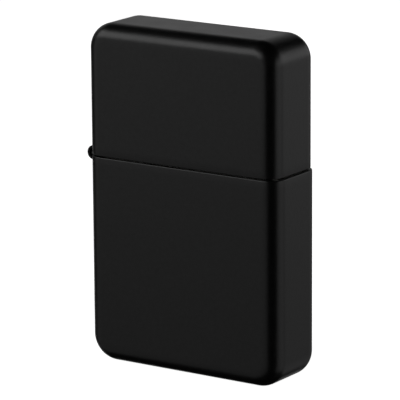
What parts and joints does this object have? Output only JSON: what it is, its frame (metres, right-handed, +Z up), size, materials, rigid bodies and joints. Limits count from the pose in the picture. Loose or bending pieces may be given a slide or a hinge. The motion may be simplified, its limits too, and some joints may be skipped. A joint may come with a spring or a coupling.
{
  "type": "pocket lighter",
  "caption": "Pocket lighter: a slim black metal case with a hinged flip lid over a steel inside unit with chimney, wick, striker wheel, flint tube and sprung cam.",
  "frame": {"origin": "middle of the flat underside of the case, halfway across its width and its depth", "axes": "+Z up towards the lid, +X away from the hinge, -Y out of the front face"},
  "size_m": [0.0381, 0.013, 0.057],
  "materials": {
    "black_coat": "matte",
    "hinge_steel": "satin",
    "sheet_steel": "satin",
    "spring_steel": "satin",
    "wheel_steel": "knurled",
    "brass": "satin",
    "ferrocerium": "rough",
    "cotton": "fluffy",
    "felt": "felted",
    "wick": "braided"
  },
  "bodies": {
    "case": {"case_bottom": "black_coat", "hinge_leaf_lower": "hinge_steel", "hinge_pin": "hinge_steel"},
    "lid": {"case_lid": "black_coat", "hinge_leaf_upper": "hinge_steel", "lid_stop_plate": "sheet_steel"},
    "insert": {"insert_case": "sheet_steel", "insert_deck": "sheet_steel", "flint_tube": "brass", "flint_screw": "brass", "flint_spring": "spring_steel", "felt_pad": "felt", "packing_1": "cotton", "packing_2": "cotton", "packing_3": "cotton", "packing_4": "cotton", "wick": "wick", "wheel_rivet": "sheet_steel", "cam_rivet": "sheet_steel", "cam_spring": "spring_steel", "cam_spring_rivet": "sheet_steel"},
    "wheel": {"flint_wheel": "wheel_steel"},
    "cam": {"cam": "sheet_steel"},
    "flint_follower": {"flint": "ferrocerium", "spring_tip": "brass"}
  },
  "joints": [
    {"name": "lid_hinge", "type": "hinge", "parent": "case", "child": "lid", "pos_m": [-0.0184, 0, 0.03495], "axis": [0, -1, 0], "range_deg": [0, 126]},
    {"name": "insert_slide", "type": "slide", "parent": "case", "child": "insert", "axis": [0, 0, 1], "range_m": [0, 0.001]},
    {"name": "wheel_spin", "type": "hinge", "parent": "insert", "child": "wheel", "pos_m": [0.0111, 0, 0.0425], "axis": [0, 1, 0], "continuous": true},
    {"name": "cam_pivot", "type": "hinge", "parent": "insert", "child": "cam", "pos_m": [-0.0122, 0, 0.0399], "axis": [0, 1, 0], "range_deg": [0, 14], "stiffness_Nm_per_rad": 0.02, "springref_deg": -17.19, "deforming": ["cam_spring"]},
    {"name": "flint_feed", "type": "slide", "parent": "insert", "child": "flint_follower", "axis": [0, 0, 1], "range_m": [-0.003, 0], "stiffness_N_per_m": 200, "springref_m": 0.004, "deforming": ["flint_spring"]}
  ]
}
